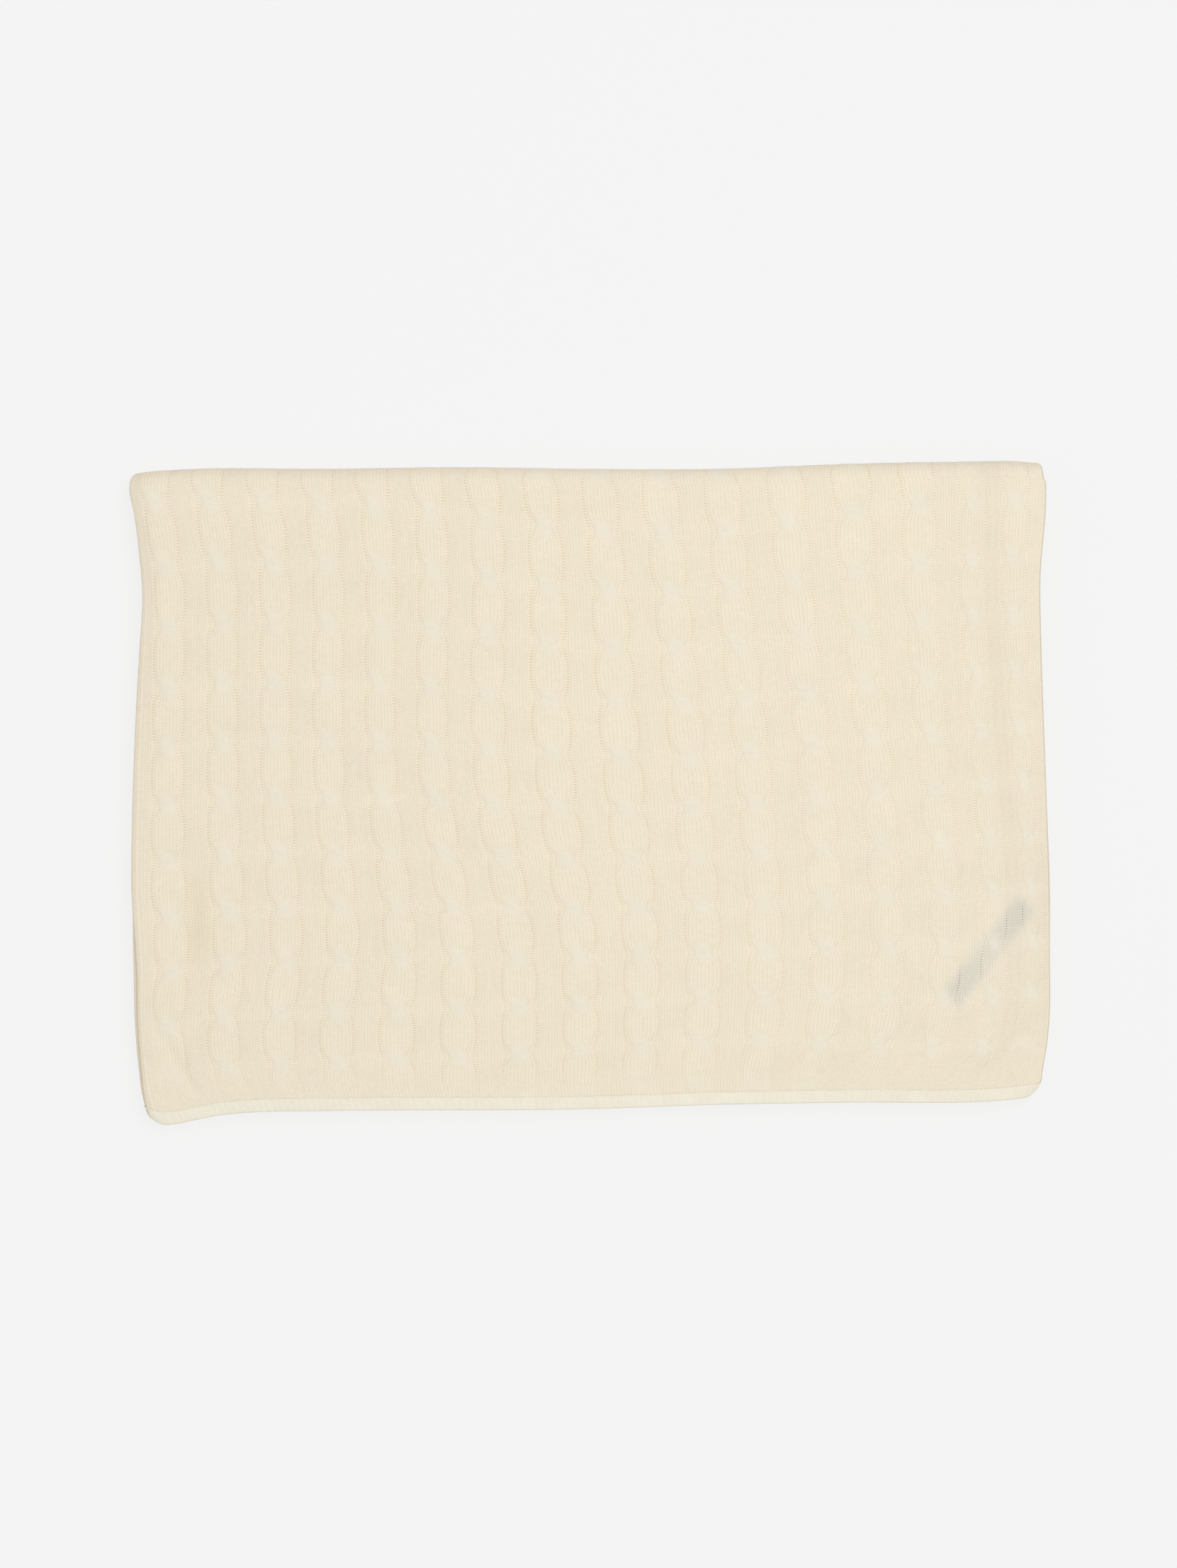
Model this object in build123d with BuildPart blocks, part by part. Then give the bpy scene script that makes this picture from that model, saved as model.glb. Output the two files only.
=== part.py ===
"""Cable-knit cotton throw, folded to an eight-ply rectangle. Units are millimetres.

The cloth is folded in half across its width, so every leaf is two plies, a face ply
and a lining ply, joined along the left by a book fold. It is then folded in half
along its length at the front turn, and in half again at the back turns.

Leaves are numbered along the cloth. From the bottom of the stack they lie in the
order leaf 2, leaf 3, leaf 4, leaf 1. Leaves 2 and 3 are the lower half, leaves 4 and
1 the upper half, and the upper half swings open about the back edge.

+X runs along the book folds' side to the open side, +Y to the back turns and +Z up.
The origin is at the middle of the underside.
"""

import os

from build123d import *

# Driving dimensions
WIDTH = 650.0  # book folds to open side
DEPTH = 454.0  # free hems to back turns
PLY = 3.5  # one thickness of cable knit
HALF_GAP = 0.3  # air between the lower and the upper half
FOLD_EASE = 0.1  # how much slimmer a book fold is than its two plies
HEM_DEPTH = 8.5  # ribbed band along each free end
SEAM_WIDTH = 0.8  # linking chain between a hem and its leaf
SEAM_INSET = 0.35  # how far the chain lies below the cloth's face
LABEL_LENGTH = 93.0
LABEL_WIDTH = 21.0
LABEL_THICKNESS = 0.5
LABEL_X = 281.0
LABEL_Y = -116.5
LABEL_ANGLE = 51.7  # from +X towards +Y
STITCH_COUNT = 7
STITCH_LENGTH = 2.0
STITCH_WIDTH = 0.6
STITCH_HEIGHT = 0.3
STITCH_EDGE = 3.0  # from the label's sewn end to its row of stitches

# Worked out from the driving dimensions
left = -WIDTH / 2 + PLY - FOLD_EASE
right = WIDTH / 2
front = -DEPTH / 2
mid_height = 4 * PLY + HALF_GAP / 2
back_axis = DEPTH / 2 - mid_height
front_axis = front + 2 * PLY
front_axis_height = 2 * PLY
leaf_front = front + HEM_DEPTH + SEAM_WIDTH
upper_base = 4 * PLY + HALF_GAP
label_height = upper_base + 3 * PLY

os.makedirs("parts", exist_ok=True)


def keep(part, name):
    """Names a finished sub-part and writes its file."""
    part.label = name
    export_step(part, f"parts/{name}.step")


def slab(x_range, y_range, z_range):
    """A flat rectangle of cloth between three pairs of limits."""
    with BuildPart() as flat:
        with BuildSketch(Plane.XY.offset(z_range[0])):
            with Locations((sum(x_range) / 2, sum(y_range) / 2)):
                Rectangle(x_range[1] - x_range[0], y_range[1] - y_range[0])
        extrude(amount=z_range[1] - z_range[0])
    return flat.part


def half_disc(plane, radius, offset=0.0):
    """A half disc bulging towards the plane's local -X, centred at (0, offset)."""
    with BuildSketch(plane) as outline:
        with BuildLine():
            arc = ThreePointArc((0, offset - radius), (-radius, offset), (0, offset + radius))
            Line(arc @ 1, arc @ 0)
        make_face()
    return outline.sketch


def straight_book_fold(y_range, height):
    """The rounded left edge that joins a leaf's two plies, centred at a height."""
    start = Plane(origin=(left, y_range[0], height), x_dir=(1, 0, 0), z_dir=(0, 1, 0))
    with BuildPart() as fold:
        extrude(half_disc(start, PLY - FOLD_EASE), amount=y_range[1] - y_range[0])
    return fold.part


def turn(y, z, inner, outer, side):
    """One ply turned through half a circle about the line at y, z, towards side * Y."""
    start = Plane(origin=(left, y, z), x_dir=(0, side, 0), z_dir=(1, 0, 0))
    with BuildPart() as bend:
        with BuildSketch(start):
            with BuildLine():
                rim = ThreePointArc((0, -outer), (outer, 0), (0, outer))
                if inner > 0:
                    bore = ThreePointArc((0, inner), (inner, 0), (0, -inner))
                    Line(rim @ 1, bore @ 0)
                    Line(bore @ 1, rim @ 0)
                else:
                    Line(rim @ 1, rim @ 0)
            make_face()
        extrude(amount=right - left)
    return bend.part


def turned_book_fold(y, z, centre_radius, side):
    """The rounded left edge of two plies that turn together about the line at y, z."""
    start = Plane(origin=(left, y, z), x_dir=(1, 0, 0), z_dir=(0, 1, 0))
    axis = Axis((left, y, z), (side, 0, 0))
    with BuildPart() as corner:
        revolve(half_disc(start, PLY - FOLD_EASE, centre_radius), axis=axis, revolution_arc=180)
    return corner.part


def label_plane(height):
    """The label's own plane, with its length along local X."""
    return Plane(origin=(LABEL_X, LABEL_Y, height)).rotated((0, 0, LABEL_ANGLE))


def label_block(height, thickness):
    """A block of the label's outline, from a height upwards."""
    with BuildPart() as block:
        with BuildSketch(label_plane(height)):
            Rectangle(LABEL_LENGTH, LABEL_WIDTH)
        extrude(amount=thickness)
    return block.part


# Plies and book folds of the four leaves. Each row gives the leaf, the base of its
# lower ply, which ply lies lower, and where the leaf starts at the front.
leaves = (
    ("leaf2", 0.0, "face", front_axis),
    ("leaf3", 2 * PLY, "lining", front_axis),
    ("leaf4", upper_base, "face", leaf_front),
    ("leaf1", upper_base + 2 * PLY, "lining", leaf_front),
)
for leaf, base, lower_ply, start in leaves:
    upper_ply = "lining" if lower_ply == "face" else "face"
    span = (start, back_axis)
    with BuildPart() as lower_sheet:
        add(slab((left, right), span, (base, base + PLY)))
        if leaf == "leaf1":
            # The lining dips under the label, so the two don't share space.
            pocket = LABEL_THICKNESS + STITCH_HEIGHT
            add(label_block(label_height - pocket, pocket), mode=Mode.SUBTRACT)
    keep(lower_sheet.part, f"{leaf}_{lower_ply}_ply")
    keep(slab((left, right), span, (base + PLY, base + 2 * PLY)), f"{leaf}_{upper_ply}_ply")
    keep(straight_book_fold(span, base + PLY), f"{leaf}_book_fold")

# Front turn: leaf 2 goes round into leaf 3, lining inside and face outside.
keep(turn(front_axis, front_axis_height, 0.0, PLY, -1), "front_turn_lining_ply")
keep(turn(front_axis, front_axis_height, PLY, 2 * PLY, -1), "front_turn_face_ply")
keep(turned_book_fold(front_axis, front_axis_height, PLY, -1), "front_turn_book_fold")

# Back turns: leaf 3 goes round into leaf 4 inside, leaf 2 into leaf 1 outside.
turns = (
    ("inner_turn_face_ply", 0),
    ("inner_turn_lining_ply", 1),
    ("outer_turn_lining_ply", 2),
    ("outer_turn_face_ply", 3),
)
for name, order in turns:
    inner = HALF_GAP / 2 + order * PLY
    keep(turn(back_axis, mid_height, inner, inner + PLY, 1), name)
for name, order in (("inner_turn_book_fold", 1), ("outer_turn_book_fold", 3)):
    middle = HALF_GAP / 2 + order * PLY
    keep(turned_book_fold(back_axis, mid_height, middle, 1), name)

# Ribbed hems of the two free ends, each running over both plies and their book fold,
# and the linking chains that join them to the leaves.
for end, base in (("finishing", upper_base), ("starting", upper_base + 2 * PLY)):
    with BuildPart() as hem:
        add(slab((left, right), (front, front + HEM_DEPTH), (base, base + 2 * PLY)))
        add(straight_book_fold((front, front + HEM_DEPTH), base + PLY))
    keep(hem.part, f"{end}_hem")
    seam_span = (front + HEM_DEPTH, leaf_front)
    seam_height = (base + SEAM_INSET, base + 2 * PLY - SEAM_INSET)
    keep(slab((left, right), seam_span, seam_height), f"{end}_linking_seam")

# The woven label lies between the top leaf's two plies, sewn down by one short end.
label_base = label_height - LABEL_THICKNESS - STITCH_HEIGHT
keep(label_block(label_base, LABEL_THICKNESS), "corner_label")
with BuildPart() as stitches:
    row_x = LABEL_LENGTH / 2 - STITCH_EDGE
    with BuildSketch(label_plane(label_height - STITCH_HEIGHT)):
        with Locations((row_x, 0)):
            with GridLocations(0, LABEL_WIDTH / STITCH_COUNT, 1, STITCH_COUNT):
                Rectangle(STITCH_WIDTH, STITCH_LENGTH)
    extrude(amount=STITCH_HEIGHT)
keep(stitches.part, "label_stitches")
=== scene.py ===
"""Looks of a cable-knit cotton throw, folded to eight plies. Lengths are millimetres
in the making and metres in the finished meshes.

The knit is modelled in the cloth's own coordinates: wales, the knit columns, count
across the cloth from the book fold on the left, and courses, the knit rows, count
along it. Each stretch of cloth is a hairpin of two plies, swept along the fold path.
"""

import math

import bpy
import numpy as np
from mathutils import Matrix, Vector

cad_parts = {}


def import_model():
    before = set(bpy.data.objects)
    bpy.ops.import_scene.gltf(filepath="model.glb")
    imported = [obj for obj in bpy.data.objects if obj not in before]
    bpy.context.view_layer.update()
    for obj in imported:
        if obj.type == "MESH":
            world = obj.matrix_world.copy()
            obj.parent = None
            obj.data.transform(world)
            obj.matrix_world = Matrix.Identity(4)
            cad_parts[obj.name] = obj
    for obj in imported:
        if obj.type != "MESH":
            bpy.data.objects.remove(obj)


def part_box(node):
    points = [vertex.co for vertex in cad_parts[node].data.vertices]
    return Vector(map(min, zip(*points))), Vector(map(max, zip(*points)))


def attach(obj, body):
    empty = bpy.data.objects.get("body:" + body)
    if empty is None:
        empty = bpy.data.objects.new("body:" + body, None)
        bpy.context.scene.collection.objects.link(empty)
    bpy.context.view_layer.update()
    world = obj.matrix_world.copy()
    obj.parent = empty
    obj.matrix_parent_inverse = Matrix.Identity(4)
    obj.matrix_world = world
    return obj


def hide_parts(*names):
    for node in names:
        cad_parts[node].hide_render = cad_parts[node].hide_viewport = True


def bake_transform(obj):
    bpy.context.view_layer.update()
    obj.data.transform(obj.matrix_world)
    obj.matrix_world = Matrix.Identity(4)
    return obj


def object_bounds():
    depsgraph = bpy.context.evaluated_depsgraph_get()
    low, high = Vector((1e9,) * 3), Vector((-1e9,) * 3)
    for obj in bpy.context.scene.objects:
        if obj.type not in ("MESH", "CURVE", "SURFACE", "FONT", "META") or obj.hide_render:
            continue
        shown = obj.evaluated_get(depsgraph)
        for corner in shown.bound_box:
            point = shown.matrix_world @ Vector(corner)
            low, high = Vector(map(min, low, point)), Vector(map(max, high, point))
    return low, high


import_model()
cad_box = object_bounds()

MM = 0.001

# The folded stack, as the CAD has it
PLY = 3.5
HALF_GAP = 0.3
HEM_DEPTH = 8.5
SEAM_WIDTH = 0.8
LABEL_SIZE = (93.0, 21.0, 0.5)
LABEL_ANGLE = math.radians(51.7)

box_low, box_high = (np.array(corner) / MM for corner in cad_box)
FRONT = box_low[1]
BACK = box_high[1]
MID_HEIGHT = 4 * PLY + HALF_GAP / 2
LEAF1_HEIGHT = 7 * PLY + HALF_GAP
LEAF4_HEIGHT = 5 * PLY + HALF_GAP
BACK_AXIS = BACK - MID_HEIGHT
FRONT_AXIS = FRONT + 2 * PLY

# The knit: cables eight wales wide between single purl wales, eighteen to a repeat
WALES = 291
WALE = 2.22
COURSE = 1.93
REPEAT = 18
CABLES = 16
FIRST_CABLE = 11.5
CROSSING = 20  # courses from one crossing of a cable to the next
LADDER_AT = 4.5  # wales from a cable's middle to the purl wale beside it
CABLE_HALF = 4.0


# ---------------------------------------------------------------- shape helpers


def smooth(places, values, at):
    """Cubic through given values, level beyond the first and last."""
    places, values = np.asarray(places, float), np.asarray(values, float)
    slopes = np.gradient(values, places, axis=0)
    at = np.clip(at, places[0], places[-1])
    i = np.clip(np.searchsorted(places, at, side="right") - 1, 0, len(places) - 2)
    span = places[i + 1] - places[i]
    u = (at - places[i]) / span
    if values.ndim == 1:
        v0, v1, m0, m1 = values[i], values[i + 1], slopes[i], slopes[i + 1]
    else:
        v0, v1 = np.take_along_axis(values, i, 0), np.take_along_axis(values, i + 1, 0)
        m0, m1 = np.take_along_axis(slopes, i, 0), np.take_along_axis(slopes, i + 1, 0)
    rise = u * u * (3 - 2 * u)
    return v0 + (v1 - v0) * rise + span * (u * (1 - u) ** 2 * m0 - u * u * (1 - u) * m1)


def ease(low, high, at):
    """0 below low, 1 above high and smooth between."""
    t = np.clip((at - low) / (high - low), 0, 1)
    return t * t * (3 - 2 * t)


def bell(at, width):
    return np.exp(-((at / width) ** 2))


# ---------------------------------------------------------------- outline of the stack

# The stack's edges from above: places along each one, and where it lies there
LEFT_EDGE = (
    (-240, -227, -215, -190, -160, -135, -45, 55, 100, 140, 170, 200, 212, 232),
    (-307.5, -314, -318.5, -322, -324, -324.3, -324.8, -321.5, -319, -317, -319.5, -323.5, -326, -325),
)
RIGHT_EDGE = (
    (-240, -221, -206, -192, -168, -130, -100, 0, 90, 140, 210, 232),
    (317.5, 318.5, 320, 322.5, 324.8, 325, 325, 322, 318.5, 317.5, 321.5, 320),
)
FRONT_EDGE = (
    (-322, -306, -296, -280, -262, -240, -190, 0, 90, 180, 296, 310, 325),
    (-232, -239, -239, -236, -232.5, -230.5, -229.5, -228, -225, -223.5, -221.5, -220, -218),
)
BACK_EDGE = (
    (-325, -315, -300, -280, -190, -90, 0, 90, 180, 260, 310, 323),
    (222, 223.7, 225, 226, 226, 227.2, 226, 226, 229.5, 231, 230.7, 229),
)

# For the left (1) and right (-1) sides, at the front (1) and back (-1)
CORNER_RADII = {(1, 1): 5, (-1, 1): 13, (1, -1): 5, (-1, -1): 4}
# How far the top leaf is pressed thin at its edges, as a share, and how far in that reaches
RIGHT_PRESS = (0.35, 22)
LEFT_PRESS = (0.55, 15)
FRONT_PRESS = (0.28, 28)


def left_edge(y):
    return smooth(*LEFT_EDGE, y)


def right_edge(y):
    return smooth(*RIGHT_EDGE, y)


def round_corner(x, y, side, front, radius):
    """Pulls a square corner in to a round one. x and y are measured from the corner, inwards."""
    u = np.clip(1 - x / radius, 0, 1)
    v = np.clip(1 - y / radius, 0, 1)
    in_x = radius * u * (1 - np.sqrt(1 - v * v / 2))
    in_y = radius * v * (1 - np.sqrt(1 - u * u / 2))
    return side * in_x, front * in_y


def press(away, share, reach):
    """A share at an edge, falling to 0 at a distance from it."""
    return share * np.clip(1 - away / reach, 0, 1) ** 2


def settle(x, y, z):
    """Moves the straight-sided stack's points to the outline the real one lies in."""
    near, far = smooth(*FRONT_EDGE, x), smooth(*BACK_EDGE, x)
    lie = near + (y - FRONT) / (BACK - FRONT) * (far - near)
    left, right = left_edge(lie), right_edge(lie)
    above = np.clip(z - (LEAF1_HEIGHT - LINING_LEVEL), 0, None)
    lost = press(right - x, *RIGHT_PRESS) + press(x - left, *LEFT_PRESS) + press(lie - near, *FRONT_PRESS)
    moved_x, moved_y = x, lie
    for side, in_from_side in ((1, x - left), (-1, right - x)):
        for front, in_from_end in ((1, lie - near), (-1, far - lie)):
            radius = CORNER_RADII[side, front]
            dx, dy = round_corner(in_from_side, in_from_end, side, front, radius)
            moved_x, moved_y = moved_x + dx, moved_y + dy
    return moved_x, moved_y, z - above * lost


# ---------------------------------------------------------------- the knit pattern

# How far the cloth is pulled sideways, at listed wales and distances from the back
PULL_WALES = (0, 2.5, 7, 16, 65.5, 119.5, 173.5, 227.5, 245.5, 263.5, 281.5, WALES)
PULL_ROWS = (35, 235, 326, 415, 455)
PULL = (
    (0, -2.5, -7, -8.5, -12.4, -15.9, -11, 4.6, 12, 9.5, -0.5, 0),
    (0, 0, 0, 0, -5, -10, 10.8, 21.7, 23, 19, 6, 0),
    (0, 0, 1, 2, 2.3, 3.8, 16.3, 26.5, 27.5, 22.5, 9.5, 0),
    (0, -1, -2, -3, -4.5, 5.8, 14.2, 20.4, 20.5, 16, 6, 0),
    (0, 3, 5, 4, -1.5, 5.5, 12, 8.5, 6.5, 4, -0.5, 0),
)
BACK_LINE = 230.5  # distances from the back are measured from here


def stretched(x, wale):
    """How much wider than its natural width each wale lies."""
    return np.abs(np.gradient(x, wale[0], axis=1)) / WALE


def sideways(wale, y):
    """x of a wale where the cloth lies at y."""
    left, right = left_edge(y), right_edge(y)
    rows = np.stack([smooth(PULL_WALES, row, wale[0]) for row in PULL])
    drift = smooth(PULL_ROWS, rows, BACK_LINE - y)
    return left + (right - left) * wale / WALES + drift


# The cables' first and eleventh crossings, as distances from the back at the left side. Across the
# cloth they change by a slope and by a sag right of the middle, where the rows also bunch most.
FIRST_CROSSING, FIRST_SLOPE, FIRST_SAG = 27, 4, 22
LAST_CROSSING, LAST_SLOPE, LAST_SAG = 425, -6, -9
SLACK, SLACK_SLOPE, SLACK_SAG = 11, -4, 5
SAG_AT, SAG_WIDTH = 0.58, 0.22


def course_at(share, y):
    """Course number on the top leaf, rising towards the back, at a share of the width."""
    sag = bell(share - SAG_AT, SAG_WIDTH)
    first = FIRST_CROSSING + FIRST_SLOPE * share + FIRST_SAG * sag
    last = LAST_CROSSING + LAST_SLOPE * share + LAST_SAG * sag
    slack = SLACK + SLACK_SLOPE * share + SLACK_SAG * sag
    slope = last - first + 4 * slack
    down = BACK_LINE - y - first
    rows = (slope - np.sqrt(np.maximum(slope**2 - 16 * slack * down, 1))) / (8 * slack)
    return -CROSSING * (1 + 10 * rows)


# Heights and depths of the relief, in millimetres
LOBE_RISE = 0.52
KNOT_RISE = 0.3
PLAIN_RISE = 0.10
RIB_RISE = 0.12
LADDER_DEPTH = 0.45
GROOVE_DEPTH = 0.12
HOLLOW_DEPTH = 0.2
KNOT_LENGTH, KNOT_WIDTH = 6.2, 4.3  # of the slanted strand over a crossing
LOBE_DRAW = 0.8  # how far a cable spreads on average, and how much that varies along it
LOBE_VARIES = 0.9
KNOT_DRAW = 3.1  # how far each crossing pulls the cable's sides in


def knit(wale, course, stretch):
    """The face's relief, how far the cable draws the cloth sideways, and two masks."""
    number = np.clip(np.round((wale - FIRST_CABLE) / REPEAT), 0, CABLES - 1)
    across = wale - FIRST_CABLE - REPEAT * number
    reach = np.abs(across)
    along = (course / CROSSING - np.round(course / CROSSING)) * CROSSING
    along_mm = along * COURSE

    # lobes are lens-shaped between crossings, and the strands narrow to each knot
    bulge = 2 * np.sqrt(np.sin(math.pi * along / CROSSING) ** 2 + 0.012) - 1
    outer = np.where(reach < LADDER_AT, reach / LADDER_AT, 1 - ease(LADDER_AT, 9, reach))
    inner = np.where(reach < CABLE_HALF, reach / CABLE_HALF, 1 - ease(CABLE_HALF, LADDER_AT + 0.3, reach))
    spread = (LOBE_DRAW + LOBE_VARIES * bulge) * outer - KNOT_DRAW * bell(along_mm, 6.0) * inner
    draw = spread * stretch * np.sign(across)

    across_mm = across * WALE * stretch + draw
    long_way = (across_mm - along_mm) / math.sqrt(2)
    short_way = (across_mm + along_mm) / math.sqrt(2)
    knot = bell(long_way, KNOT_LENGTH) * bell(short_way, KNOT_WIDTH)
    inside = np.clip(1 - (reach / (CABLE_HALF + 0.6)) ** 2.6, 0, 1)
    lobe = LOBE_RISE * inside * (1 - 0.5 * bell(along, 2.2))
    groove = GROOVE_DEPTH * bell(across, 0.5) * (1 - bell(along, 4))
    ladder = bell(reach - LADDER_AT, 0.52) * (1 - 0.5 * bell(along_mm, 5.0))
    plain = PLAIN_RISE * bell(reach - 7, 1.8)
    rib = RIB_RISE * np.cos(2 * math.pi * (across - 0.5)) * (1 - knot) * (1 - ladder)
    hollow = HOLLOW_DEPTH * bell(reach - CABLE_HALF, 1.0) * bell(along_mm, 4.0)
    relief = lobe + KNOT_RISE * knot - LADDER_DEPTH * ladder - groove + plain + rib - hollow
    return relief, draw, knot, ladder


# ---------------------------------------------------------------- fold paths


class Path:
    """The line that a doubled cloth follows in the YZ plane, with a normal on the face side."""

    def __init__(self):
        self.y, self.z, self.ny, self.nz = [], [], [], []

    def line(self, start, end, height, up, step):
        count = max(2, round(abs(end - start) / step))
        for t in np.linspace(0, 1, count + 1)[(1 if self.y else 0):]:
            self.add(start + (end - start) * t, height, 0, up)
        return self

    def turn(self, y, z, radius, start, end, side, count):
        for angle in np.linspace(start, end, count + 1)[1:]:
            c, s = math.cos(angle), math.sin(angle)
            self.add(y + radius * c, z + radius * s, side * c, side * s)
        return self

    def add(self, y, z, ny, nz):
        self.y.append(y)
        self.z.append(z)
        self.ny.append(ny)
        self.nz.append(nz)

    def arrays(self):
        return (np.array(v, float) for v in (self.y, self.z, self.ny, self.nz))

    def travel(self, offset):
        """Distance along the ply that lies offset from the line."""
        y, z, ny, nz = self.arrays()
        step = np.hypot(np.diff(y + ny * offset), np.diff(z + nz * offset))
        return np.concatenate([[0], np.cumsum(step)])


# ---------------------------------------------------------------- the doubled cloth

NOSE_STEPS = 7
LINING_LEVEL = 3.1
RIM_ANGLES = np.radians((55, 0, -55))
WRONG_SIDE = 0.6  # from the double's middle to the back of each ply
NOSE_WALE = 2.5  # the face's first column; the wales before it go round the fold
COARSE = 3  # wales between columns where a side is never seen


def face_wales(per_wale, ladder_detail=False):
    """Wales at which the face has a column of vertices, from the fold to the open side."""
    found = set(np.round(np.arange(NOSE_WALE, WALES + 0.01, 1 / per_wale), 4))
    for number in range(CABLES if ladder_detail else 0):
        for side in (-1, 1):
            middle = FIRST_CABLE + REPEAT * number + side * LADDER_AT
            found |= {middle - 0.25, middle, middle + 0.25}
    return np.array(sorted(found))


def mesh_object(name, points, faces, uv, attributes, material):
    """A smooth-shaded mesh with one UV map and float attributes, from numpy arrays."""
    mesh = bpy.data.meshes.new(name)
    mesh.from_pydata((points * MM).tolist(), [], faces)
    layer = mesh.uv_layers.new(name="stitch")
    corners = np.zeros(len(mesh.loops), np.int32)
    mesh.loops.foreach_get("vertex_index", corners)
    layer.data.foreach_set("uv", uv[corners].astype(np.float32).ravel())
    for key, values in attributes.items():
        attribute = mesh.attributes.new(key, "FLOAT", "POINT")
        attribute.data.foreach_set("value", values.astype(np.float32))
    mesh.shade_smooth()
    mesh.materials.append(material)
    obj = bpy.data.objects.new(name, mesh)
    bpy.context.scene.collection.objects.link(obj)
    return obj


class Hairpin:
    """Builds a doubled cloth column by column round its hairpin section, then as one mesh."""

    def __init__(self, path, left_inset=0.0, right_inset=0.0, lining_inset=0.0):
        self.y, self.z, self.ny, self.nz = (v[:, None] for v in path.arrays())
        ones = np.ones_like(self.y)
        self.left = left_edge(self.y) + left_inset * ones
        self.cut = right_inset * ones
        self.lining_cut = lining_inset * ones
        self.blocks = []

    def across(self, wale, lining=False):
        """x of each wale in each row, within this cloth's own edges."""
        x = sideways(np.broadcast_to(wale, (len(self.y), len(wale))), self.y)
        share = wale / WALES
        inset = self.lining_cut if lining else self.cut
        return x + (self.left - left_edge(self.y)) * (1 - share) - inset * share

    def block(self, x, normal, wale, course, **masks):
        """Adds columns at x, offset along the row's normal."""
        shape = np.broadcast_shapes(np.shape(x), np.shape(normal))
        x, normal = np.broadcast_to(x, shape), np.broadcast_to(normal, shape)
        place = np.stack(settle(x, self.y + self.ny * normal, self.z + self.nz * normal), -1)
        where = np.stack([np.broadcast_to(wale, shape), np.broadcast_to(course, shape)], -1)
        kept = {key: np.broadcast_to(masks.get(key, 0.0), shape) for key in MASKS}
        self.blocks.append((place, where, kept))

    def mesh(self, name, material, face_wale, back_wale):
        """Joins the blocks into one closed mesh."""
        place = np.concatenate([b[0] for b in self.blocks], 1)
        where = np.concatenate([b[1] for b in self.blocks], 1)
        masks = {key: np.concatenate([b[2][key] for b in self.blocks], 1).ravel() for key in MASKS}
        rows, columns = place.shape[:2]
        first = np.arange(rows - 1)[:, None] * columns
        here = np.arange(columns)[None, :]
        after = (here + 1) % columns
        quads = np.stack([first + here, first + columns + here, first + columns + after, first + after], -1)
        faces = quads.reshape(-1, 4).tolist()
        cap = end_cap(face_wale, back_wale, columns)
        faces += cap
        faces += [[i + (rows - 1) * columns for i in reversed(f)] for f in cap]
        points, uv = place.reshape(-1, 3), where.reshape(-1, 2)
        return mesh_object(name, points, faces, uv, masks, material)


MASKS = ("knot", "ladder", "label", "patch_shade")


def end_cap(face_wale, back_wale, columns):
    """Polygons that close a hairpin section: its two plies' ends, rims and fold."""
    face, back, rim = len(face_wale), len(back_wale), len(RIM_ANGLES)
    lining = face + NOSE_STEPS
    lining_rim = lining + back
    lining_back = lining_rim + rim
    inner_nose = lining_back + back
    face_back = inner_nose + NOSE_STEPS
    face_rim = face_back + back
    cap = []
    # face columns run from the open side to the fold, its back columns the other way
    marks = [int(np.argmin(abs(face_wale[::-1] - w))) for w in back_wale]
    for k in range(back - 1):
        outer = list(range(marks[k], marks[k + 1] - 1, -1))
        cap.append([face_back + k, face_back + k + 1] + outer[::-1])
    cap.append([face_back + back - 1] + list(range(face_rim, face_rim + rim)) + [0])
    cap.append([face - 1, face] + [inner_nose + NOSE_STEPS - 1, face_back])
    for k in range(NOSE_STEPS - 1):
        far = inner_nose + NOSE_STEPS - 1 - k
        cap.append([face + k, face + k + 1, far - 1, far])
    cap.append([lining - 1, lining, lining_back + back - 1, inner_nose])
    for k in range(back - 1):
        far = lining_back + back - 1 - k
        cap.append([lining + k, lining + k + 1, far - 1, far])
    cap.append(list(range(lining_rim - 1, lining_back + 1)))
    return cap


def rims(cloth, level, back, sign, cut, order):
    """The rounded edge of one ply at the open side."""
    middle, half = (level + back) / 2, (level - back) / 2
    turn = RIM_ANGLES[::order][None, :]
    cloth.block(cut + half * np.cos(turn), sign * (middle + half * np.sin(turn)), WALES, 0)


def hairpin(cloth, face_wale, back_wale, face, level, lining_level, back, lining_course):
    """Adds every side of a doubled cloth. face is (x, normal, course, masks) of its showing face."""
    wale = face_wale[::-1]
    x, normal, course, masks = face
    cloth.block(x, normal, wale, course, **masks)
    turn = np.linspace(math.pi / 2, 3 * math.pi / 2, NOSE_STEPS + 2)[None, 1:-1]
    radius = normal[:, -1:] + (lining_level - normal[:, -1:]) * (turn / math.pi - 0.5)
    fold_wale = np.linspace(NOSE_WALE, -NOSE_WALE, NOSE_STEPS + 2)[1:-1]
    middle = cloth.left + LINING_LEVEL
    cloth.block(middle + radius * np.cos(turn), radius * np.sin(turn), fold_wale, course[:, -1:])
    lining_x = cloth.across(back_wale, lining=True)
    back_x = cloth.across(back_wale)
    cloth.block(lining_x, -lining_level, -back_wale, lining_course)
    rims(cloth, lining_level, back, -1, lining_x[:, -1:], 1)
    cloth.block(lining_x[:, ::-1], -back, -back_wale[::-1], lining_course)
    cloth.block(middle + back * np.cos(turn[:, ::-1]), back * np.sin(turn[:, ::-1]), fold_wale, 0)
    cloth.block(back_x, back, back_wale, lining_course)
    rims(cloth, level, back, 1, x[:, :1], -1)


# ---------------------------------------------------------------- materials


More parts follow.
